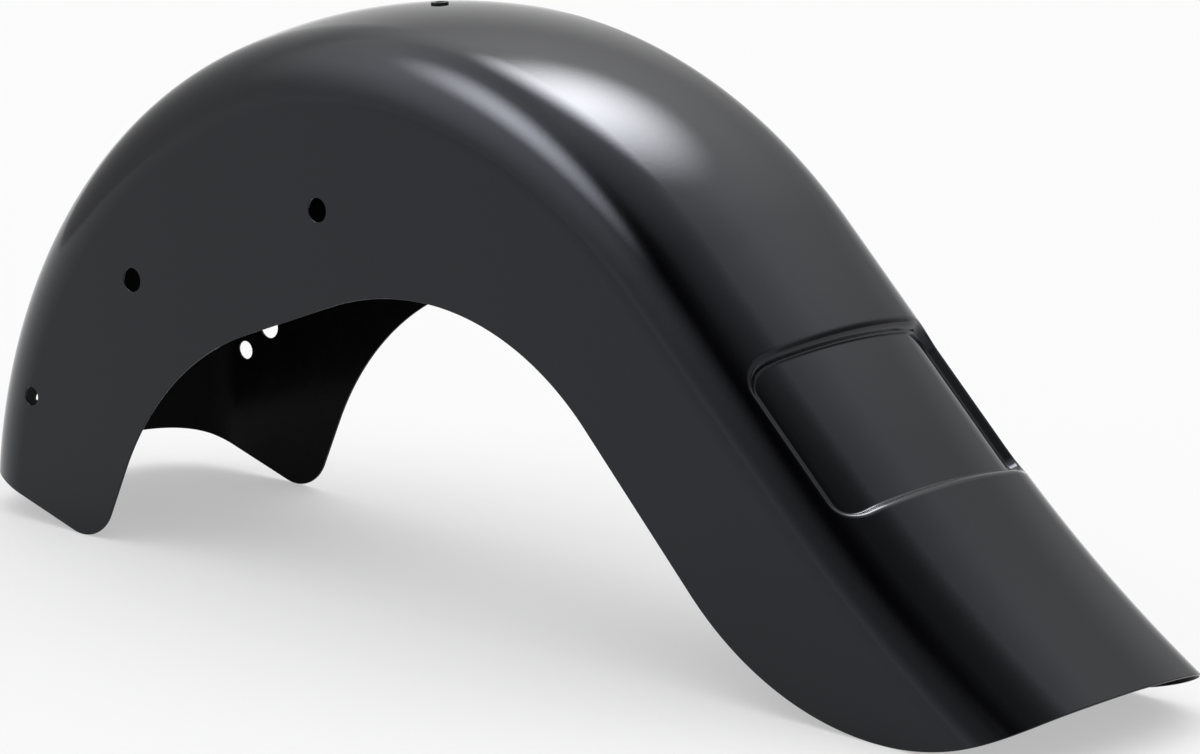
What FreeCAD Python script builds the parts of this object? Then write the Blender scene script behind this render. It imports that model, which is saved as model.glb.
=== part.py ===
import FreeCAD, Part
import math
import os

# Motorcycle rear fender pressed from one steel sheet, with a threaded insert for the seat bolt.
# Millimetres. X runs to the rear, Y to the right side and Z up. The fender stands on its two front
# feet and on the low points of its tail at Z = 0. Until the last step X is counted from the wheel centre.

# Sheet and cross-section
SHEET = 1.6
WIDTH = 210.0
CROWN_ROLL_R = 302.0
CORNER_R = 54.0

# Crown line seen from the side: wheel arc, straight run, then an outward flick
CROWN_R = 395.0
WHEEL_CENTRE_Z = -2.35
ARC_REAR_ANGLE = 47.4
TAIL_STRAIGHT = 178.5
FLICK_R = 1000.0

# Front edge, and the rounded foot at the front of each side wall
FRONT_EDGE_Z = 26.0
FRONT_EDGE_R = 124.0
FOOT_X = -270.8
FOOT_R = 31.0
FOOT_BASE_SLOPE = 16.0
FOOT_REAR_SLOPE = 67.0

# Wheel arch edge, from the foot over its top to the straight fall towards the tail
SHOULDER_R = 212.0
ARCH_RISE_SLOPE = 22.0
ARCH_TOP_X = 54.0
ARCH_TOP_Z = 216.5
ARCH_FRONT_R = 225.0
ARCH_REAR_R = 207.0
ARCH_FALL_SLOPE = 44.5

# Lower edge of the tail, round its low point and up to the crown
TAIL_LOW_X = 453.0
TAIL_HEEL_R = 197.0

# Panel pressed into the tail, placed by its distance along the crown from the wheel arc's end
RECESS_START = 89.5
RECESS_LENGTH = 117.5
RECESS_SIDE_MARGIN = 16.5
RECESS_DEPTH = 7.0
RECESS_CORNER_R = 18.0
RECESS_RIM_R = 2.0
RECESS_FLOOR_R = 0.9

# Strut holes and lower holes, each through both side walls, as X and Z of their centres
STRUT_HOLE_D = 16.5
STRUT_HOLE_REAR_X = -43.6
STRUT_HOLE_REAR_Z = 263.9
STRUT_HOLE_FRONT_X = -221.1
STRUT_HOLE_FRONT_Z = 188.4
LOWER_HOLE_D = 13.0
LOWER_HOLE_X = -322.4
LOWER_HOLE_Z = 89.5

# Wiring hole, in the right wall only
WIRING_HOLE_D = 17.5
WIRING_HOLE_X = -298.8
WIRING_HOLE_Z = 111.0

# Pair of holes low on the front of the crown
FRONT_HOLE_D = 6.0
FRONT_HOLE_ANGLE = 169.6
FRONT_HOLE_SPACING = 82.0

# Seat nut: a flanged insert riveted into the crown
SEAT_NUT_ANGLE = 94.9
SEAT_NUT_THREAD_D = 6.0
SEAT_NUT_BODY_D = 9.0
SEAT_NUT_HOLE_CLEARANCE = 0.1
SEAT_NUT_LENGTH = 14.0
SEAT_NUT_FLANGE_D = 12.0
SEAT_NUT_FLANGE_T = 1.2
SEAT_NUT_BULGE_D = 11.5
SEAT_NUT_BULGE_L = 4.0

# Derived places. The walls are swept deep and long, and the side outline then trims them.
ACROSS = FreeCAD.Vector(0, 1, 0)
HALF_WIDTH = WIDTH / 2
WHEEL_CENTRE = FreeCAD.Vector(0, 0, WHEEL_CENTRE_Z)
WALL_DEPTH = CROWN_R * 0.6
ARC_FRONT_ANGLE = 190.0
FLICK_TURN = 20.0
TOUCH = 1e-4


def side(x, z):
    """Point in the middle plane, seen from the side."""
    return FreeCAD.Vector(x, 0, z)


def heading(degrees):
    """Unit vector in the middle plane, turned up from the rearward direction."""
    angle = math.radians(degrees)
    return side(math.cos(angle), math.sin(angle))


def arc(start, middle, end):
    return Part.Arc(start, middle, end).toShape()


def segment(start, end):
    return Part.LineSegment(start, end).toShape()


ARC_REAR_NORMAL = heading(ARC_REAR_ANGLE)
TAIL_RUN = heading(ARC_REAR_ANGLE - 90)
ARC_REAR_POINT = WHEEL_CENTRE + ARC_REAR_NORMAL * CROWN_R


def section_face(inset):
    """Closed cross-section at the rear end of the wheel arc, set in from the outer skin."""
    corner_r = CORNER_R - inset
    wall_y = HALF_WIDTH - inset
    depth = WALL_DEPTH + inset
    corner_y = HALF_WIDTH - CORNER_R
    roll_to_corner = CROWN_ROLL_R - CORNER_R
    corner_drop = CROWN_ROLL_R - math.sqrt(roll_to_corner ** 2 - corner_y ** 2)
    roll_end = math.asin(corner_y / roll_to_corner)

    def place(y, drop):
        return ARC_REAR_POINT - ARC_REAR_NORMAL * drop + ACROSS * y

    def corner(sign, lean):
        y = corner_y + corner_r * math.sin(lean)
        return place(sign * y, corner_drop - corner_r * math.cos(lean))

    leans = (roll_end, (roll_end + math.pi / 2) / 2, math.pi / 2)
    left = [corner(-1, lean) for lean in leans]
    right = [corner(1, lean) for lean in leans]
    edges = [
        arc(left[0], place(0, inset), right[0]),
        arc(right[0], right[1], right[2]),
        segment(right[2], place(wall_y, depth)),
        segment(place(wall_y, depth), place(-wall_y, depth)),
        segment(place(-wall_y, depth), left[2]),
        arc(left[2], left[1], left[0]),
    ]
    return Part.Face(Part.Wire(edges))


def swept_body(inset):
    """The section carried round the wheel arc, along the straight run and through the flick."""
    face = section_face(inset)
    wheel_arc = face.revolve(WHEEL_CENTRE, -ACROSS, ARC_FRONT_ANGLE - ARC_REAR_ANGLE)
    straight = face.extrude(TAIL_RUN * TAIL_STRAIGHT)
    flick_face = face.translated(TAIL_RUN * TAIL_STRAIGHT)
    flick_centre = ARC_REAR_POINT + TAIL_RUN * TAIL_STRAIGHT + ARC_REAR_NORMAL * FLICK_R
    flick = flick_face.revolve(flick_centre, -ACROSS, FLICK_TURN)
    return wheel_arc.fuse([straight, flick]).removeSplitter()


def recess_prism(grow):
    """Rounded rectangle standing square to the tail, larger all round by grow."""
    half_length = RECESS_LENGTH / 2 + grow
    half_width = HALF_WIDTH - RECESS_SIDE_MARGIN + grow
    reach = RECESS_DEPTH + HALF_WIDTH
    base = ARC_REAR_POINT + TAIL_RUN * (RECESS_START + RECESS_LENGTH / 2) - ARC_REAR_NORMAL * reach
    corners = [(-1, -1), (1, -1), (1, 1), (-1, 1), (-1, -1)]
    points = [base + TAIL_RUN * half_length * a + ACROSS * half_width * b for a, b in corners]
    prism = Part.Face(Part.makePolygon(points)).extrude(ARC_REAR_NORMAL * 2 * reach)
    upright = [edge for edge in prism.Edges if abs(edge.tangentAt(0).dot(ARC_REAR_NORMAL)) > 0.5]
    return prism.makeFillet(RECESS_CORNER_R + grow, upright)


def edges_on(shape, first, second):
    """Edges of a shape that lie on the skins of two other shapes."""
    skins = (first.Shells[0], second.Shells[0])
    found = []
    for edge in shape.Edges:
        middle = Part.Vertex(edge.valueAt((edge.FirstParameter + edge.LastParameter) / 2))
        if max(middle.distToShape(skin)[0] for skin in skins) < TOUCH:
            found.append(edge)
    return found


def pressed_body(inset):
    """Swept body with the panel pushed in along the tail's normal, its floor and rim rounded."""
    body = swept_body(inset)
    prism = recess_prism(inset)
    lowered = body.translated(ARC_REAR_NORMAL * -RECESS_DEPTH)
    pressed = body.cut(prism).fuse(lowered.common(prism)).removeSplitter()
    pressed = pressed.makeFillet(RECESS_FLOOR_R + inset, edges_on(pressed, prism, lowered))
    return pressed.makeFillet(RECESS_RIM_R - inset, edges_on(pressed, prism, body))


def bend(corner, slope_in, slope_out, radius):
    """Start, middle and end of the arc that rounds a corner between two straight headings."""
    half_turn = math.radians(abs(slope_out - slope_in)) / 2
    tangent = radius * math.tan(half_turn)
    inward = heading(slope_out) - heading(slope_in)
    inward.normalize()
    start = corner - heading(slope_in) * tangent
    end = corner + heading(slope_out) * tangent
    return start, corner + inward * (radius / math.cos(half_turn) - radius), end


def crossing(first, slope_first, second, slope_second):
    """Point where two lines in the middle plane meet."""
    normal = heading(slope_second + 90)
    run = (second - first).dot(normal) / heading(slope_first).dot(normal)
    return first + heading(slope_first) * run


def side_outline():
    """Everything above the fender's lower edges, as a face in the middle plane."""
    outside = 3 * CROWN_R
    foot_centre = side(FOOT_X, FOOT_R)
    foot_start = foot_centre + heading(-FOOT_BASE_SLOPE - 90) * FOOT_R
    foot_middle = foot_centre + heading((FOOT_REAR_SLOPE - FOOT_BASE_SLOPE) / 2 - 90) * FOOT_R
    foot_end = foot_centre + heading(FOOT_REAR_SLOPE - 90) * FOOT_R

    front_left = side(-outside, FRONT_EDGE_Z)
    front_corner = crossing(front_left, 0, foot_start, -FOOT_BASE_SLOPE)
    front_bend = bend(front_corner, 0, -FOOT_BASE_SLOPE, FRONT_EDGE_R)

    arch_top = side(ARCH_TOP_X, ARCH_TOP_Z)
    rise_centre = arch_top - side(0, ARCH_FRONT_R)
    rise_start = rise_centre + heading(90 + ARCH_RISE_SLOPE) * ARCH_FRONT_R
    rise_middle = rise_centre + heading(90 + ARCH_RISE_SLOPE / 2) * ARCH_FRONT_R
    shoulder = bend(
        crossing(foot_end, FOOT_REAR_SLOPE, rise_start, ARCH_RISE_SLOPE),
        FOOT_REAR_SLOPE, ARCH_RISE_SLOPE, SHOULDER_R)

    fall_centre = arch_top - side(0, ARCH_REAR_R)
    fall_middle = fall_centre + heading(90 - ARCH_FALL_SLOPE / 2) * ARCH_REAR_R
    fall_start = fall_centre + heading(90 - ARCH_FALL_SLOPE) * ARCH_REAR_R
    tail_low = side(TAIL_LOW_X, 0)
    fall_foot = crossing(fall_start, -ARCH_FALL_SLOPE, tail_low, 0)
    tail_sweep_r = (TAIL_LOW_X - fall_foot.x) / math.tan(math.radians(ARCH_FALL_SLOPE) / 2)
    tail_bend = bend(fall_foot, -ARCH_FALL_SLOPE, 0, tail_sweep_r)

    heel_centre = tail_low + side(0, TAIL_HEEL_R)
    heel_middle = heel_centre + heading(-45) * TAIL_HEEL_R
    heel_end = heel_centre + heading(0) * TAIL_HEEL_R

    edges = [
        segment(front_left, front_bend[0]),
        arc(*front_bend),
        segment(front_bend[2], foot_start),
        arc(foot_start, foot_middle, foot_end),
        segment(foot_end, shoulder[0]),
        arc(*shoulder),
        segment(shoulder[2], rise_start),
        arc(rise_start, rise_middle, arch_top),
        arc(arch_top, fall_middle, fall_start),
        segment(fall_start, tail_bend[0]),
        arc(*tail_bend),
        arc(tail_low, heel_middle, heel_end),
        segment(heel_end, side(heel_end.x, outside)),
        segment(side(heel_end.x, outside), side(-outside, outside)),
        segment(side(-outside, outside), front_left),
    ]
    return Part.Face(Part.Wire(edges))


def wall_hole(x, z, diameter, left_y, right_y):
    """Punch along Y through one side wall or both."""
    return Part.makeCylinder(diameter / 2, right_y - left_y, FreeCAD.Vector(x, left_y, z), ACROSS)


def crown_hole(angle, y, diameter):
    """Punch square to the wheel arc, through the crown."""
    normal = heading(angle)
    start = WHEEL_CENTRE + normal * (CROWN_R - CORNER_R) + ACROSS * y
    return Part.makeCylinder(diameter / 2, 2 * CORNER_R, start, normal)


def fender_shell():
    sheet = pressed_body(0).cut(pressed_body(SHEET))
    outline = side_outline().translated(ACROSS * -WIDTH).extrude(ACROSS * 2 * WIDTH)
    sheet = sheet.common(outline)
    punches = [
        wall_hole(STRUT_HOLE_REAR_X, STRUT_HOLE_REAR_Z, STRUT_HOLE_D, -WIDTH, WIDTH),
        wall_hole(STRUT_HOLE_FRONT_X, STRUT_HOLE_FRONT_Z, STRUT_HOLE_D, -WIDTH, WIDTH),
        wall_hole(LOWER_HOLE_X, LOWER_HOLE_Z, LOWER_HOLE_D, -WIDTH, WIDTH),
        wall_hole(WIRING_HOLE_X, WIRING_HOLE_Z, WIRING_HOLE_D, 0, WIDTH),
        crown_hole(FRONT_HOLE_ANGLE, -FRONT_HOLE_SPACING / 2, FRONT_HOLE_D),
        crown_hole(FRONT_HOLE_ANGLE, FRONT_HOLE_SPACING / 2, FRONT_HOLE_D),
        crown_hole(SEAT_NUT_ANGLE, 0, SEAT_NUT_BODY_D + SEAT_NUT_HOLE_CLEARANCE),
    ]
    return sheet.cut(punches)


def seat_nut(sheet):
    """Insert whose flange and riveted bulge are formed against the crown sheet."""
    normal = heading(SEAT_NUT_ANGLE)
    crown = WHEEL_CENTRE + normal * CROWN_R

    def disc(diameter, low, high):
        return Part.makeCylinder(diameter / 2, high - low, crown + normal * low, normal)

    flange = disc(SEAT_NUT_FLANGE_D, -SHEET / 2, SEAT_NUT_FLANGE_T)
    bulge = disc(SEAT_NUT_BULGE_D, -SHEET - SEAT_NUT_BULGE_L, -SHEET / 2)
    body = disc(SEAT_NUT_BODY_D, -SEAT_NUT_LENGTH, 0)
    thread = disc(SEAT_NUT_THREAD_D, -SEAT_NUT_LENGTH, SEAT_NUT_FLANGE_T)
    return flange.fuse([bulge, body]).cut(sheet).removeSplitter().cut(thread)


shell = fender_shell()
nut = seat_nut(shell)
box = shell.optimalBoundingBox(False, False)
to_origin = FreeCAD.Vector(-(box.XMin + box.XMax) / 2, 0, 0)
os.makedirs("parts", exist_ok=True)
for node, shape in (("fender_shell", shell), ("seat_nut", nut)):
    shape.translated(to_origin).exportStep("parts/" + node + ".step")
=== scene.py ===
import cmath
import math

import bpy
import numpy as np
from mathutils import Matrix, Vector, geometry, kdtree


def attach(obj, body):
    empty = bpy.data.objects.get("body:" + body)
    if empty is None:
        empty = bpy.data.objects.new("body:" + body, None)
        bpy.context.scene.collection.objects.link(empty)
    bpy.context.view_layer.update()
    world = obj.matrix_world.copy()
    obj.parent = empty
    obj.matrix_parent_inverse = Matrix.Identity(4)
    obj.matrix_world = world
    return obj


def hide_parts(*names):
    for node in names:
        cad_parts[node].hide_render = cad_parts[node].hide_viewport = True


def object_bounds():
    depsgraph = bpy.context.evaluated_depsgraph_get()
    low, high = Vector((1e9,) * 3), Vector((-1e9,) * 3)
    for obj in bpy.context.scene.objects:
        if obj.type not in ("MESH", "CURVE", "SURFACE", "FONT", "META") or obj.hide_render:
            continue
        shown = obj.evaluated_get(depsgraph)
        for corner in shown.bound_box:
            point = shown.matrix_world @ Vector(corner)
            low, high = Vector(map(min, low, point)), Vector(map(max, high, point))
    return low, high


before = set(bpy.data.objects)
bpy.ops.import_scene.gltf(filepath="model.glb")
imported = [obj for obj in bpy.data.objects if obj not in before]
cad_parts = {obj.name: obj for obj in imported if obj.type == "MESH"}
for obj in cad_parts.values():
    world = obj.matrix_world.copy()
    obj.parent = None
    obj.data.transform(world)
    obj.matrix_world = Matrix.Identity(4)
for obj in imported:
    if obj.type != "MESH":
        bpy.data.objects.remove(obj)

CAD_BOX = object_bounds()
MM = 0.001

# Fender sizes in millimetres. X runs to the rear from the wheel centre, Z up from the floor.
SHEET = 1.6
HALF_WIDTH = 105.0
CROWN_ROLL_R = 302.0
CORNER_R = 54.0
CROWN_R = 395.0
WHEEL_CENTRE_Z = -2.35
ARC_REAR_ANGLE = 47.4
TAIL_STRAIGHT = 178.5
FLICK_R = 1000.0

# Lower edges, seen from the side: front edge, foot, wheel arch and tail
FRONT_EDGE_Z = 26.0
FRONT_EDGE_R = 124.0
FOOT_X = -270.8
FOOT_R = 31.0
FOOT_BASE_SLOPE = -16.0
FOOT_REAR_SLOPE = 67.0
SHOULDER_R = 212.0
ARCH_RISE_SLOPE = 22.0
ARCH_TOP_X = 54.0
ARCH_TOP_Z = 216.5
ARCH_FRONT_R = 225.0
ARCH_REAR_R = 207.0
ARCH_FALL_SLOPE = -44.5
TAIL_LOW_X = 453.0
TAIL_HEEL_R = 197.0

# Pressed panel in the tail: outline on the skin where its rim starts to roll in, then depth, roundings
# and slopes
RECESS_TOP = 83.6
RECESS_BOTTOM = 213.8
RECESS_HALF_WIDTH = 97.4
RECESS_CORNER_R = 22.0
RECESS_DEPTH = 8.0
RIM_END_R = 7.0
RIM_SIDE_R = 2.0
RECESS_FLOOR_R = 2.5
END_SLOPE = 70.0
SIDE_SLOPE = 86.0

# Holes: X, Z and radius in the side walls, then the crown's front pair and its seat hole, whose angles are
# in degrees about the wheel centre
WALL_HOLES = ((-43.6, 263.9, 8.25), (-221.1, 188.4, 8.25), (-322.4, 89.5, 6.5))
WIRING_HOLE = (-298.8, 111.0, 8.75)
FRONT_HOLE_ANGLE = 169.6
FRONT_HOLE_Y = 41.0
FRONT_HOLE_R = 3.0
SEAT_HOLE_ANGLE = 94.9
SEAT_HOLE_R = 4.55

# The paint's rounding of every cut edge, in millimetres, and its rows of points, in degrees from the skin
EDGE_ROUND = 0.5
EDGE_TURNS = (30, 60, 90)

# Mesh fineness, in millimetres or as counts of points
STATION_STEP = 6.0
ROLL_STEP = 5.2
CORNER_STEP = 2.6
WALL_STEP = 9.0
EDGE_STEP = 2.0
CLEAR_OF_EDGE = 1.5
HOLE_POINTS = 48
RECESS_CORNER_POINTS = 15
RIM_RINGS = 7
PATH_POINTS = 400
NORMAL_NUDGE = 0.02
MERGE_WITHIN = 1e-6
TINY = 1e-9

# Surface patterns in millimetres: width of each, and depth where it is raised. The grain of the primer and
# of the zinc is finer on the real part, and is drawn this coarse so that it shows.
ORANGE_PEEL = 3.5
ORANGE_PEEL_DEPTH = 0.4
POLISH_HAZE = 60.0
PRIMER_MOTTLE = 25.0
PRIMER_GRAIN = 1.5
PRIMER_GRAIN_DEPTH = 0.1
ZINC_GRAIN = 0.8

# Most of a noise pattern's values lie between these two
NOISE_LOW = 0.3
NOISE_HIGH = 0.7

# Camera of the photograph, in metres and millimetres of lens
CAMERA_PLACE = (2.8270, -3.0765, 1.1319)
CAMERA_RIGHT = (0.73692, 0.67578, 0.01658)
CAMERA_UP = (-0.16557, 0.15667, 0.97367)
CAMERA_BACK = (0.65539, -0.72027, 0.22734)
CAMERA_LENS = 194.04
CAMERA_SENSOR = 36.0

# Studio: the room's even level and its dimmer or brighter parts, as azimuth, elevation and radius in
# degrees, and how many times that level each has at its middle
ROOM_LEVEL = 0.8
ROOM_PARTS = {
    "near_side": (170, 37, 48, 0.0),
    "above_tail": (71, 71, 33, 0.0),
    "low_front": (-87, -6, 36, 0.5),
    "high_front": (-105, 58, 24, 0.0),
    "far_rear": (42, 12, 30, 0.3),
    "near_front": (-152, 3, 32, 1.45),
}

# Softboxes, placed from the studio's middle: azimuth and elevation in degrees, distance, half width and half
# height in metres, tilt in degrees, and level
STUDIO_MIDDLE = (-0.05, 0.0, 0.3)
SOFTBOX_POINTS = 48
SOFTBOXES = {
    "front_softbox": (-151.5, 50.1, 2.9, 1.82, 0.83, -21.5, 10.7),
    "front_diffuser": (-147.8, 41.2, 0.96, 1.28, 0.68, -25.8, 2.35),
    "top_softbox": (-6.5, 69.5, 0.6, 0.33, 0.26, 28.5, 16.7),
    "top_diffuser": (21.6, 79.6, 0.54, 1.1, 0.76, 47.7, 1.5),
}

# Floor: its light's strength and spread in degrees, how far its paper is lifted to white, and its reach
# in metres
FLOOR_LIGHT = 2.05
FLOOR_LIGHT_SPREAD = 90.0
FLOOR_WHITENING = 0.45
FLOOR_REACH = 12.0

# Derived section values
CORNER_Y = HALF_WIDTH - CORNER_R
CORNER_DROP = CROWN_ROLL_R - math.sqrt((CROWN_ROLL_R - CORNER_R) ** 2 - CORNER_Y ** 2)
ROLL_END = math.asin(CORNER_Y / (CROWN_ROLL_R - CORNER_R))
ROLL_LENGTH = CROWN_ROLL_R * ROLL_END
CORNER_LENGTH = CORNER_R * (math.pi / 2 - ROLL_END)
WALL_START = ROLL_LENGTH + CORNER_LENGTH
ROLL_DROP = CROWN_ROLL_R * (1 - math.cos(ROLL_END))

# Derived crown line. Points seen from the side are complex numbers, x + iz.
WHEEL_CENTRE = complex(0, WHEEL_CENTRE_Z)
TAIL_NORMAL = cmath.rect(1, math.radians(ARC_REAR_ANGLE))
TAIL_RUN = TAIL_NORMAL * -1j
ARC_REAR_POINT = WHEEL_CENTRE + CROWN_R * TAIL_NORMAL
FLICK_CENTRE = ARC_REAR_POINT + TAIL_RUN * TAIL_STRAIGHT + TAIL_NORMAL * FLICK_R
FRONT_X = -math.sqrt(CROWN_R ** 2 - (FRONT_EDGE_Z - WHEEL_CENTRE_Z) ** 2)
WHEEL_X = CAD_BOX[0].x / MM - FRONT_X


def crown_line(along):
    """Point and outward normal of the crown line, by distance behind the end of the wheel arc."""
    arc_normal = TAIL_NORMAL * np.exp(-1j * np.minimum(along, 0) / CROWN_R)
    flick = np.maximum(along - TAIL_STRAIGHT, 0) / FLICK_R
    flick_normal = TAIL_NORMAL * np.exp(1j * flick)
    straight = ARC_REAR_POINT + TAIL_RUN * np.clip(along, 0, TAIL_STRAIGHT)
    normal = np.where(along < 0, arc_normal, flick_normal)
    point = np.where(along < 0, WHEEL_CENTRE + CROWN_R * arc_normal, straight)
    return np.where(flick > 0, FLICK_CENTRE - FLICK_R * flick_normal, point), normal


def section(across):
    """Sideways place, drop below the crown line and lean, by distance round the section."""
    reach = np.abs(across)
    roll = np.minimum(reach, ROLL_LENGTH) / CROWN_ROLL_R
    lean = ROLL_END + np.clip(reach - ROLL_LENGTH, 0, CORNER_LENGTH) / CORNER_R
    on_roll = reach < ROLL_LENGTH
    y = np.where(on_roll, CROWN_ROLL_R * np.sin(roll), CORNER_Y + CORNER_R * np.sin(lean))
    drop = np.where(on_roll, CROWN_ROLL_R * (1 - np.cos(roll)), CORNER_DROP - CORNER_R * np.cos(lean))
    side = np.sign(across)
    return side * y, drop + np.maximum(reach - WALL_START, 0), side * np.where(on_roll, roll, lean)


def across_at_drop(drop):
    """Distance round the section at a drop below the crown line."""
    roll = CROWN_ROLL_R * np.arccos(1 - np.clip(drop, 0, ROLL_DROP) / CROWN_ROLL_R)
    lean = np.arccos(np.clip((CORNER_DROP - drop) / CORNER_R, 0, math.cos(ROLL_END)))
    below = ROLL_LENGTH + CORNER_R * (lean - ROLL_END) + np.maximum(drop - CORNER_DROP, 0)
    return np.where(drop < ROLL_DROP, roll, below)


def across_at_y(y):
    """Distance round the section at a sideways place."""
    roll = CROWN_ROLL_R * np.arcsin(np.minimum(np.abs(y), HALF_WIDTH) / CROWN_ROLL_R)
    lean = np.arcsin(np.clip((np.abs(y) - CORNER_Y) / CORNER_R, math.sin(ROLL_END), 1))
    below = ROLL_LENGTH + CORNER_R * (lean - ROLL_END)
    return np.sign(y) * np.where(np.abs(y) < CROWN_ROLL_R * math.sin(ROLL_END), roll, below)


def side_place(point):
    """Distance along the crown line and drop below it, of points seen from the side."""
    from_wheel = point - WHEEL_CENTRE
    turned = -np.angle(from_wheel / TAIL_NORMAL)
    from_tail = (point - ARC_REAR_POINT) / TAIL_RUN
    from_flick = (FLICK_CENTRE - point) / TAIL_NORMAL
    along = np.where(from_tail.real < 0, turned * CROWN_R, from_tail.real)
    drop = np.where(from_tail.real < 0, CROWN_R - np.abs(from_wheel), -from_tail.imag)
    in_flick = from_tail.real > TAIL_STRAIGHT
    along = np.where(in_flick, TAIL_STRAIGHT + FLICK_R * np.angle(from_flick), along)
    return along, np.where(in_flick, np.abs(from_flick) - FLICK_R, drop)


def recess_inset(along, across):
    """Distance inside the recess's outline, and how much of it faces the recess's ends."""
    middle = (RECESS_TOP + RECESS_BOTTOM) / 2
    ends = np.abs(along - middle) - (RECESS_BOTTOM - RECESS_TOP) / 2 + RECESS_CORNER_R
    sides = np.abs(across) - RECESS_HALF_WIDTH + RECESS_CORNER_R
    corner = np.hypot(np.maximum(ends, 0), np.maximum(sides, 0))
    inset = RECESS_CORNER_R - corner - np.minimum(np.maximum(ends, sides), 0)
    facing_end = np.where(corner > 0, np.maximum(ends, 0) / np.maximum(corner, TINY), ends > sides) ** 2
    return inset, facing_end


def recess_profile(facing_end):
    """Rim radius and slope of the press, and where the rim, the straight and the floor's rounding end."""
    rim_r = RIM_SIDE_R + (RIM_END_R - RIM_SIDE_R) * facing_end
    slope = np.radians(SIDE_SLOPE + (END_SLOPE - SIDE_SLOPE) * facing_end)
    rounded = (rim_r + RECESS_FLOOR_R) * (1 - np.cos(slope))
    rim_run = rim_r * np.sin(slope)
    wall_run = rim_run + (RECESS_DEPTH - rounded) / np.tan(slope)
    return rim_r, slope, rim_run, wall_run, wall_run + RECESS_FLOOR_R * np.sin(slope)


def press_depth(along, across):
    """How far the panel is pressed in."""
    inset, facing_end = recess_inset(along, across)
    rim_r, slope, rim_run, wall_run, floor_run = recess_profile(facing_end)
    rim = rim_r - np.sqrt(np.maximum(rim_r ** 2 - np.clip(inset, 0, rim_run) ** 2, 0))
    wall = np.clip(inset - rim_run, 0, wall_run - rim_run) * np.tan(slope)
    left = np.clip(floor_run - inset, 0, floor_run - wall_run)
    floor = RECESS_DEPTH - RECESS_FLOOR_R + np.sqrt(RECESS_FLOOR_R ** 2 - left ** 2)
    return np.where(inset < wall_run, rim + wall, floor)


def skin_place(along, across):
    """Points of the outer skin, one row of x, y, z each."""
    point, normal = crown_line(along)
    y, drop, lean = section(across)
    press = press_depth(along, across)
    seen = point - normal * (drop + press * np.cos(lean))
    return np.stack([seen.real, y - press * np.sin(lean), seen.imag], axis=-1)


def unit(rows):
    """Each row scaled to a length of one."""
    return rows / np.linalg.norm(rows, axis=-1, keepdims=True)


def skin_normal(along, across):
    """Outward normals of the outer skin, from points a nudge apart."""
    rearward = skin_place(along + NORMAL_NUDGE, across) - skin_place(along - NORMAL_NUDGE, across)
    rightward = skin_place(along, across + NORMAL_NUDGE) - skin_place(along, across - NORMAL_NUDGE)
    return unit(np.cross(rearward, rightward))


def rounded_path(lines, radii):
    """Close-set points along lines, each a point and a slope, with their crossings rounded."""
    path = [lines[0][0]]
    for (start, slope_in), (end, slope_out), radius in zip(lines, lines[1:], radii):
        enter = cmath.rect(1, math.radians(slope_in))
        leave = cmath.rect(1, math.radians(slope_out))
        crossing = start + enter * ((end - start) / leave).imag / (enter / leave).imag
        turn = math.radians(slope_out - slope_in)
        first = crossing - enter * radius * math.tan(abs(turn) / 2)
        to_centre = enter * 1j * math.copysign(radius, turn)
        path.extend(np.linspace(path[-1], first, PATH_POINTS)[1:])
        path.extend(first + to_centre - to_centre * np.exp(1j * np.linspace(0, turn, PATH_POINTS)[1:]))
    return np.array(path)


def lower_edges():
    """The right half of the sheet's edge, from the middle of the front to the middle of the tail."""
    foot = complex(FOOT_X, FOOT_R)
    arch_front = complex(ARCH_TOP_X, ARCH_TOP_Z - ARCH_FRONT_R)
    arch_rear = complex(ARCH_TOP_X, ARCH_TOP_Z - ARCH_REAR_R)
    to_left = [1j * cmath.rect(1, math.radians(a)) for a in (
        FOOT_BASE_SLOPE, FOOT_REAR_SLOPE, ARCH_RISE_SLOPE, ARCH_FALL_SLOPE)]
    fall = arch_rear + ARCH_REAR_R * to_left[3]
    fall_foot = fall.real - fall.imag / math.tan(math.radians(ARCH_FALL_SLOPE))
    sweep_r = (TAIL_LOW_X - fall_foot) / math.tan(math.radians(-ARCH_FALL_SLOPE) / 2)
    lines = [
        (complex(FRONT_X, FRONT_EDGE_Z), 0),
        (foot - FOOT_R * to_left[0], FOOT_BASE_SLOPE),
        (foot - FOOT_R * to_left[1], FOOT_REAR_SLOPE),
        (arch_front + ARCH_FRONT_R * to_left[2], ARCH_RISE_SLOPE),
        (complex(ARCH_TOP_X, ARCH_TOP_Z), 0),
        (fall, ARCH_FALL_SLOPE),
        (complex(TAIL_LOW_X, 0), 0),
        (complex(TAIL_LOW_X + TAIL_HEEL_R, 0), 90),
    ]
    radii = (FRONT_EDGE_R, FOOT_R, SHOULDER_R, ARCH_FRONT_R, ARCH_REAR_R, sweep_r, TAIL_HEEL_R)
    along, drop = side_place(rounded_path(lines, radii))
    keep = np.argmax((drop < 0) & (along > TAIL_STRAIGHT))
    along, drop = along[:keep], np.maximum(drop[:keep], 0)
    steps = np.arange(0, WALL_START, EDGE_STEP)
    front = np.argmax(drop > CORNER_DROP)
    rear = keep - np.argmax(drop[::-1] > CORNER_DROP)
    edge_drop = section(steps)[1]
    front_along = np.interp(edge_drop, drop[:front + 1], along[:front + 1])
    rear_along = np.interp(edge_drop, drop[rear - 1:][::-1], along[rear - 1:][::-1])
    wall = skin_place(along[front:rear], across_at_drop(drop[front:rear]))
    length = np.concatenate([[0], np.cumsum(np.linalg.norm(np.diff(wall, axis=0), axis=1))])
    places = np.linspace(0, length[-1], round(length[-1] / EDGE_STEP))
    wall_along = np.interp(places, length, along[front:rear])
    wall_across = across_at_drop(np.interp(places, length, drop[front:rear]))
    return (np.concatenate([front_along, wall_along, rear_along[::-1]]),
            np.concatenate([steps, wall_across, steps[::-1]]))


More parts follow.
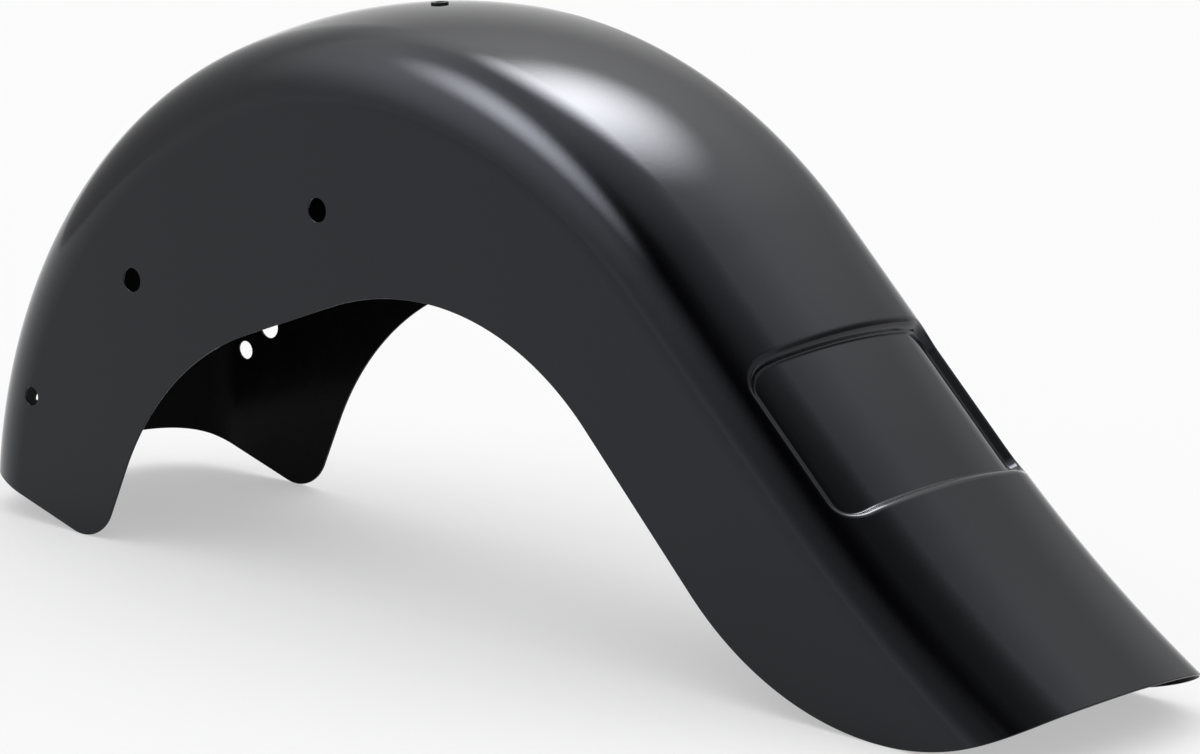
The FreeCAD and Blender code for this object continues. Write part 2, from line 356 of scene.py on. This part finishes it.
def clockwise(along, across):
    """A closed loop on the unrolled skin, turned so that what it encloses lies on its right."""
    area = np.sum(along * np.roll(across, -1) - across * np.roll(along, -1))
    loop = np.stack([along, across], axis=-1)
    return loop if area < 0 else loop[::-1]


def wall_hole(x, z, radius, sign):
    """Edge of a round hole punched sideways through one wall."""
    around = np.linspace(0, 2 * math.pi, HOLE_POINTS, endpoint=False)
    along, drop = side_place(complex(x, z) + radius * np.exp(1j * around))
    return clockwise(along, sign * across_at_drop(drop))


def crown_hole(angle, y, radius):
    """Edge of a round hole punched through the crown toward the wheel, at an angle about its centre."""
    around = np.linspace(0, 2 * math.pi, HOLE_POINTS, endpoint=False)
    across = across_at_y(y + radius * np.sin(around))
    swing = np.arcsin(radius * np.cos(around) / (CROWN_R - section(across)[1]))
    return clockwise((math.radians(ARC_REAR_ANGLE - angle) - swing) * CROWN_R, across)


def sheet_loops():
    """The sheet's outer edge and every hole, as loops with what is cut away on their right."""
    along, across = lower_edges()
    rim = clockwise(np.concatenate([along, along[-2:0:-1]]), np.concatenate([across, -across[-2:0:-1]]))
    holes = [wall_hole(*hole, sign) for hole in WALL_HOLES for sign in (-1, 1)]
    holes.append(wall_hole(*WIRING_HOLE, 1))
    holes.extend(crown_hole(FRONT_HOLE_ANGLE, y, FRONT_HOLE_R) for y in (-FRONT_HOLE_Y, FRONT_HOLE_Y))
    holes.append(crown_hole(SEAT_HOLE_ANGLE, 0, SEAT_HOLE_R))
    return [rim[::-1], *holes]


def recess_loops():
    """Rings of points down the recess's rim, wall and floor rounding, on the unrolled skin."""
    middle = (RECESS_TOP + RECESS_BOTTOM) / 2
    ends = (RECESS_BOTTOM - RECESS_TOP) / 2 - RECESS_CORNER_R
    sides = RECESS_HALF_WIDTH - RECESS_CORNER_R
    corners = [middle + ends + sides * 1j, middle - ends + sides * 1j,
               middle - ends - sides * 1j, middle + ends - sides * 1j]
    plan, inward = [], []
    for quarter, corner in enumerate(corners):
        turn = np.exp(1j * (quarter + np.linspace(0, 1, RECESS_CORNER_POINTS)) * math.pi / 2)
        arc = corner + RECESS_CORNER_R * turn
        run = corners[(quarter + 1) % 4] - corner
        straight = arc[-1] + run * np.arange(1, round(abs(run) / EDGE_STEP)) / round(abs(run) / EDGE_STEP)
        plan.extend([*arc, *straight])
        inward.extend([*-turn, *[-turn[-1]] * len(straight)])
    plan, inward = np.array(plan), np.array(inward)
    rim_r, slope, _, _, floor_run = recess_profile(inward.real ** 2)
    steps = np.linspace(0, 1, RIM_RINGS)
    insets = [rim_r * np.sin(slope * step) for step in steps]
    insets.extend(floor_run - RECESS_FLOOR_R * np.sin(slope * step) for step in steps[::-1])
    rings = [plan + inward * inset for inset in insets]
    return [np.stack([ring.real, ring.imag], axis=-1) for ring in rings]


def inside(points, loop):
    """Which points lie inside a closed loop."""
    found = np.zeros(len(points), bool)
    for (a0, c0), (a1, c1) in zip(loop, np.roll(loop, -1, axis=0)):
        if c0 != c1:
            spans = (c0 > points[:, 1]) != (c1 > points[:, 1])
            found ^= spans & (points[:, 0] < a0 + (a1 - a0) * (points[:, 1] - c0) / (c1 - c0))
    return found


def on_sheet(points, loops):
    """Which points lie inside the sheet's outer edge and in none of its holes."""
    kept = inside(points, loops[0])
    for hole in loops[1:]:
        kept &= ~inside(points, hole)
    return kept


def grid_points(loops):
    """Evenly spread points over the sheet, clear of its edges and of the recess's rings."""
    low, high = loops[0].min(axis=0), loops[0].max(axis=0)
    half = np.concatenate([
        np.arange(0, ROLL_LENGTH, ROLL_STEP),
        np.arange(ROLL_LENGTH, WALL_START, CORNER_STEP),
        np.arange(WALL_START, high[1], WALL_STEP)])
    across = np.concatenate([-half[:0:-1], half])
    grid = np.stack(np.meshgrid(np.arange(low[0], high[0], STATION_STEP), across), axis=-1).reshape(-1, 2)
    grid = grid[on_sheet(grid, loops)]
    inset, facing_end = recess_inset(*grid.T)
    floor_run = recess_profile(facing_end)[-1]
    grid = grid[(inset < -CLEAR_OF_EDGE) | (inset > floor_run + CLEAR_OF_EDGE)]
    edge = skin_place(*np.concatenate(loops).T)
    tree = kdtree.KDTree(len(edge))
    for index, place in enumerate(edge):
        tree.insert(place, index)
    tree.balance()
    far = [tree.find(place)[2] > CLEAR_OF_EDGE for place in skin_place(*grid.T)]
    return grid[far]


def sheet_triangles(flat, chains, loops):
    """Triangles between points of the unrolled sheet, along every chain, the holes left open."""
    links = [pair for chain in chains for pair in zip(chain.tolist(), np.roll(chain, -1).tolist())]
    made = geometry.delaunay_2d_cdt([Vector(p) for p in flat], links, [], 0, MERGE_WITHIN)
    source = np.array([origin[0] for origin in made[3]])
    triangles = source[np.array(made[2])]
    corner = flat[triangles]
    sides = corner[:, 1:] - corner[:, :1]
    backward = sides[:, 0, 0] * sides[:, 1, 1] < sides[:, 0, 1] * sides[:, 1, 0]
    triangles[backward] = triangles[backward][:, ::-1]
    return triangles[on_sheet(flat[triangles].mean(axis=1), loops)]


def edge_rows(edge, up, away):
    """Places and normals of each row of points round a cut edge, from the outer skin to the inner."""
    turns = np.radians(EDGE_TURNS)
    for skin, order in ((1, turns), (-1, turns[::-1])):
        for turn in order:
            sink = EDGE_ROUND * (1 - math.cos(turn))
            level = sink if skin > 0 else SHEET - sink
            place = edge - up * level - away * EDGE_ROUND * (1 - math.sin(turn))
            yield place, up * skin * math.cos(turn) + away * math.sin(turn)


def fender_mesh():
    """The painted sheet: outer and inner skin over one set of triangles, joined by rounded edges."""
    loops, rings = sheet_loops(), recess_loops()
    parts = [*loops, *rings, grid_points(loops)]
    flat = np.concatenate(parts)
    starts = np.cumsum([0, *map(len, parts)])
    members = [np.arange(starts[i], starts[i + 1]) for i in range(len(parts) - 1)]
    triangles = sheet_triangles(flat, members, loops)
    outer = skin_place(*flat.T)
    normal = skin_normal(*flat.T)
    inner = outer - normal * SHEET
    places, normals, faces = [outer, inner], [normal, -normal], []
    count = len(flat)
    faces.extend(triangles.tolist())
    faces.extend((triangles[:, ::-1] + count).tolist())
    total = 2 * count
    for loop in members[:len(loops)]:
        edge, up = outer[loop], normal[loop]
        travel = unit(np.roll(edge, -1, axis=0) - np.roll(edge, 1, axis=0))
        away = unit(np.cross(travel, up))
        rows = [loop]
        for place, facing in edge_rows(edge, up, away):
            places.append(place)
            normals.append(facing)
            rows.append(np.arange(total, total + len(loop)))
            total += len(loop)
        rows.append(loop + count)
        outer[loop] -= away * EDGE_ROUND
        inner[loop] -= away * EDGE_ROUND
        for row, below in zip(rows, rows[1:]):
            faces.extend(np.stack([row, below, np.roll(below, -1), np.roll(row, -1)], axis=-1).tolist())
    piece = mesh_piece("painted_fender", np.concatenate(places), faces, np.concatenate(normals))
    finish = np.zeros(len(faces), np.int32)
    finish[len(triangles):2 * len(triangles)] = 1
    piece.data.polygons.foreach_set("material_index", finish)
    return piece


def mesh_piece(name, places, faces, normals):
    """A smooth mesh object from millimetre places counted from the wheel centre, kept to the CAD's box."""
    mesh = bpy.data.meshes.new(name)
    boxed = np.clip((places + (WHEEL_X, 0, 0)) * MM, *np.array(CAD_BOX))
    mesh.from_pydata(boxed.tolist(), [], faces)
    mesh.shade_smooth()
    mesh.normals_split_custom_set_from_vertices(unit(normals).tolist())
    piece = bpy.data.objects.new(name, mesh)
    bpy.context.scene.collection.objects.link(piece)
    return piece


def colour(code):
    """An sRGB hex code as the linear colour that Blender works in."""
    parts = [int(code[i:i + 2], 16) / 255 for i in (1, 3, 5)]
    linear = [p / 12.92 if p <= 0.04045 else ((p + 0.055) / 1.055) ** 2.4 for p in parts]
    return (*linear, 1.0)


def add_node(tree, kind, inputs=(), **settings):
    """A shader node with its settings, and its inputs as values or as links from (node, output)."""
    made = tree.nodes.new(kind)
    for name, value in settings.items():
        setattr(made, name, value)
    for name, value in dict(inputs).items():
        if isinstance(value, tuple) and isinstance(value[0], bpy.types.Node):
            tree.links.new(value[0].outputs[value[1]], made.inputs[name])
        else:
            made.inputs[name].default_value = value
    return made


def new_material(name):
    """An empty material and its node tree."""
    material = bpy.data.materials.new(name)
    material.use_nodes = True
    material.node_tree.nodes.clear()
    return material, material.node_tree


def gloss_black_enamel():
    """Sprayed and baked: deep, cold black that mirrors the room, its mirror barely broken by orange peel."""
    material, tree = new_material("gloss_black_enamel")
    place = add_node(tree, "ShaderNodeTexCoord")
    peel = add_node(tree, "ShaderNodeTexNoise", {
        "Vector": (place, "Object"), "Scale": 1 / (ORANGE_PEEL * MM), "Detail": 2.0})
    bump = add_node(tree, "ShaderNodeBump", {
        "Height": (peel, "Fac"), "Strength": 0.05, "Distance": ORANGE_PEEL_DEPTH * MM})
    haze = add_node(tree, "ShaderNodeTexNoise", {
        "Vector": (place, "Object"), "Scale": 1 / (POLISH_HAZE * MM), "Detail": 3.0})
    gloss = add_node(tree, "ShaderNodeMapRange", {
        "Value": (haze, "Fac"), "From Min": NOISE_LOW, "From Max": NOISE_HIGH,
        "To Min": 0.08, "To Max": 0.12})
    shader = add_node(tree, "ShaderNodeBsdfPrincipled", {
        "Base Color": colour("#040405"), "Roughness": (gloss, "Result"), "Specular IOR Level": 0.345,
        "Specular Tint": colour("#ecefff"), "Normal": (bump, "Normal")})
    add_node(tree, "ShaderNodeOutputMaterial", {"Surface": (shader, "BSDF")})
    return material


def satin_black_primer():
    """Dipped, not polished: the inside is a duller black, a little mottled where the dip ran off."""
    material, tree = new_material("satin_black_primer")
    place = add_node(tree, "ShaderNodeTexCoord")
    runs = add_node(tree, "ShaderNodeTexNoise", {
        "Vector": (place, "Object"), "Scale": 1 / (PRIMER_MOTTLE * MM), "Detail": 4.0})
    tone = add_node(tree, "ShaderNodeValToRGB", {"Fac": (runs, "Fac")})
    tone.color_ramp.elements[0].color = colour("#0c0c0d")
    tone.color_ramp.elements[1].color = colour("#151516")
    gloss = add_node(tree, "ShaderNodeMapRange", {
        "Value": (runs, "Fac"), "From Min": NOISE_LOW, "From Max": NOISE_HIGH,
        "To Min": 0.22, "To Max": 0.32})
    grain = add_node(tree, "ShaderNodeTexNoise", {
        "Vector": (place, "Object"), "Scale": 1 / (PRIMER_GRAIN * MM), "Detail": 2.0})
    bump = add_node(tree, "ShaderNodeBump", {
        "Height": (grain, "Fac"), "Strength": 0.1, "Distance": PRIMER_GRAIN_DEPTH * MM})
    shader = add_node(tree, "ShaderNodeBsdfPrincipled", {
        "Base Color": (tone, "Color"), "Roughness": (gloss, "Result"), "Specular IOR Level": 0.045,
        "Normal": (bump, "Normal")})
    add_node(tree, "ShaderNodeOutputMaterial", {"Surface": (shader, "BSDF")})
    return material


def black_zinc():
    """Plated steel: dark grey metal with a fine, uneven sheen, paler than the paint around it."""
    material, tree = new_material("black_zinc")
    place = add_node(tree, "ShaderNodeTexCoord")
    grain = add_node(tree, "ShaderNodeTexNoise", {
        "Vector": (place, "Object"), "Scale": 1 / (ZINC_GRAIN * MM), "Detail": 3.0})
    tone = add_node(tree, "ShaderNodeValToRGB", {"Fac": (grain, "Fac")})
    tone.color_ramp.elements[0].color = colour("#1a1a1c")
    tone.color_ramp.elements[1].color = colour("#2b2b2e")
    gloss = add_node(tree, "ShaderNodeMapRange", {
        "Value": (grain, "Fac"), "From Min": NOISE_LOW, "From Max": NOISE_HIGH,
        "To Min": 0.3, "To Max": 0.42})
    shader = add_node(tree, "ShaderNodeBsdfPrincipled", {
        "Base Color": (tone, "Color"), "Metallic": 1.0, "Roughness": (gloss, "Result")})
    add_node(tree, "ShaderNodeOutputMaterial", {"Surface": (shader, "BSDF")})
    return material


def sky_direction(azimuth, elevation):
    """Unit vector to a place in the studio, its azimuth turned from the right side to the rear."""
    level = math.cos(math.radians(elevation))
    turn = math.radians(azimuth)
    return (math.sin(turn) * level, math.cos(turn) * level, math.sin(math.radians(elevation)))


def studio_world():
    """White room of one level, with parts that fade into it from a dimmer or brighter middle."""
    world = bpy.data.worlds.new("studio")
    world.use_nodes = True
    tree = world.node_tree
    tree.nodes.clear()
    place = add_node(tree, "ShaderNodeTexCoord")
    light = None
    for name, (azimuth, elevation, radius, level) in ROOM_PARTS.items():
        toward = add_node(tree, "ShaderNodeVectorMath", {
            0: (place, "Generated"), 1: sky_direction(azimuth, elevation)}, operation="DOT_PRODUCT")
        part = add_node(tree, "ShaderNodeMapRange", {
            "Value": (toward, "Value"), "From Min": math.cos(math.radians(radius)),
            "To Min": 1.0, "To Max": level}, label=name)
        before = (light, "Value") if light else ROOM_LEVEL
        light = add_node(tree, "ShaderNodeMath", {0: before, 1: (part, "Result")}, operation="MULTIPLY")
    room = add_node(tree, "ShaderNodeBackground", {
        "Color": colour("#ffffff"), "Strength": (light, "Value")})
    add_node(tree, "ShaderNodeOutputWorld", {"Surface": (room, "Background")})
    bpy.context.scene.world = world


def add_softbox(name, azimuth, elevation, distance, half_width, half_height, tilt, level):
    """Oval glow that fades to its edge, mirrored by the fender and clear to everything else."""
    material, tree = new_material(name)
    place = add_node(tree, "ShaderNodeTexCoord")
    reach = add_node(tree, "ShaderNodeVectorMath", {0: (place, "Object")}, operation="LENGTH")
    fade = add_node(tree, "ShaderNodeMapRange", {
        "Value": (reach, "Value"), "From Min": 1.0, "From Max": 0.0, "To Max": level},
        interpolation_type="SMOOTHSTEP")
    glow = add_node(tree, "ShaderNodeEmission", {"Color": colour("#ffffff"), "Strength": (fade, "Result")})
    clear = add_node(tree, "ShaderNodeBsdfTransparent")
    both = add_node(tree, "ShaderNodeAddShader", {0: (glow, "Emission"), 1: (clear, "BSDF")})
    add_node(tree, "ShaderNodeOutputMaterial", {"Surface": (both, "Shader")})
    around = np.linspace(0, 2 * math.pi, SOFTBOX_POINTS, endpoint=False)
    rim = np.stack([np.cos(around), np.sin(around), np.zeros(SOFTBOX_POINTS)], axis=-1)
    mesh = bpy.data.meshes.new(name)
    mesh.from_pydata(rim.tolist(), [], [range(SOFTBOX_POINTS)])
    mesh.materials.append(material)
    box = bpy.data.objects.new(name, mesh)
    away = Vector(sky_direction(azimuth, elevation))
    level_axis = Vector((0, 0, 1)).cross(away).normalized()
    turned = Matrix((level_axis, away.cross(level_axis), away)).transposed().to_4x4()
    place_at = Matrix.Translation(Vector(STUDIO_MIDDLE) + away * distance)
    size = Matrix.Diagonal((half_width, half_height, 1, 1))
    box.matrix_world = place_at @ turned @ Matrix.Rotation(math.radians(tilt), 4, "Z") @ size
    box.visible_camera = False
    box.visible_diffuse = False
    box.visible_shadow = False
    bpy.context.scene.collection.objects.link(box)


def add_floor_light():
    """Very wide, soft light from above that the gloss does not mirror."""
    lamp = bpy.data.lights.new("floor_light", "SUN")
    lamp.energy = FLOOR_LIGHT
    lamp.angle = math.radians(FLOOR_LIGHT_SPREAD)
    light = bpy.data.objects.new("floor_light", lamp)
    light.visible_glossy = False
    bpy.context.scene.collection.objects.link(light)


def pale_floor():
    """Studio paper, lifted toward white as the camera, gloss and glass see it, that keeps the shadow."""
    material, tree = new_material("pale_floor")
    paper = add_node(tree, "ShaderNodeBsdfDiffuse", {"Color": colour("#ececec")})
    white = add_node(tree, "ShaderNodeEmission", {"Color": colour("#ffffff"), "Strength": 1.0})
    path = add_node(tree, "ShaderNodeLightPath")
    seen = add_node(tree, "ShaderNodeMath", {
        0: (path, "Is Camera Ray"), 1: (path, "Is Glossy Ray")}, operation="ADD")
    seen = add_node(tree, "ShaderNodeMath", {
        0: (seen, "Value"), 1: (path, "Is Transmission Ray")}, operation="ADD", use_clamp=True)
    lift = add_node(tree, "ShaderNodeMath", {0: (seen, "Value"), 1: FLOOR_WHITENING}, operation="MULTIPLY")
    both = add_node(tree, "ShaderNodeMixShader", {
        0: (lift, "Value"), 1: (paper, "BSDF"), 2: (white, "Emission")})
    add_node(tree, "ShaderNodeOutputMaterial", {"Surface": (both, "Shader")})
    mesh = bpy.data.meshes.new("floor")
    corners = [(x * FLOOR_REACH, y * FLOOR_REACH, 0) for x, y in ((-1, -1), (1, -1), (1, 1), (-1, 1))]
    mesh.from_pydata(corners, [], [(0, 1, 2, 3)])
    mesh.materials.append(material)
    floor = bpy.data.objects.new("floor", mesh)
    bpy.context.scene.collection.objects.link(floor)


def photo_camera():
    """Long lens, high behind the left side, as the photograph was taken."""
    lens = bpy.data.cameras.new("photo_camera")
    lens.sensor_fit = "HORIZONTAL"
    lens.sensor_width = CAMERA_SENSOR
    lens.lens = CAMERA_LENS
    camera = bpy.data.objects.new("photo_camera", lens)
    axes = Matrix((CAMERA_RIGHT, CAMERA_UP, CAMERA_BACK)).transposed()
    camera.matrix_world = Matrix.Translation(CAMERA_PLACE) @ axes.to_4x4()
    bpy.context.scene.collection.objects.link(camera)
    bpy.context.scene.camera = camera


bpy.context.scene.view_settings.view_transform = "Standard"
fender = fender_mesh()
fender.data.materials.append(gloss_black_enamel())
fender.data.materials.append(satin_black_primer())
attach(fender, "root")
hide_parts("fender_shell")
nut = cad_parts["seat_nut"]
nut.data.materials.clear()
nut.data.materials.append(black_zinc())

studio_world()
for name, values in SOFTBOXES.items():
    add_softbox(name, *values)
add_floor_light()
pale_floor()
photo_camera()
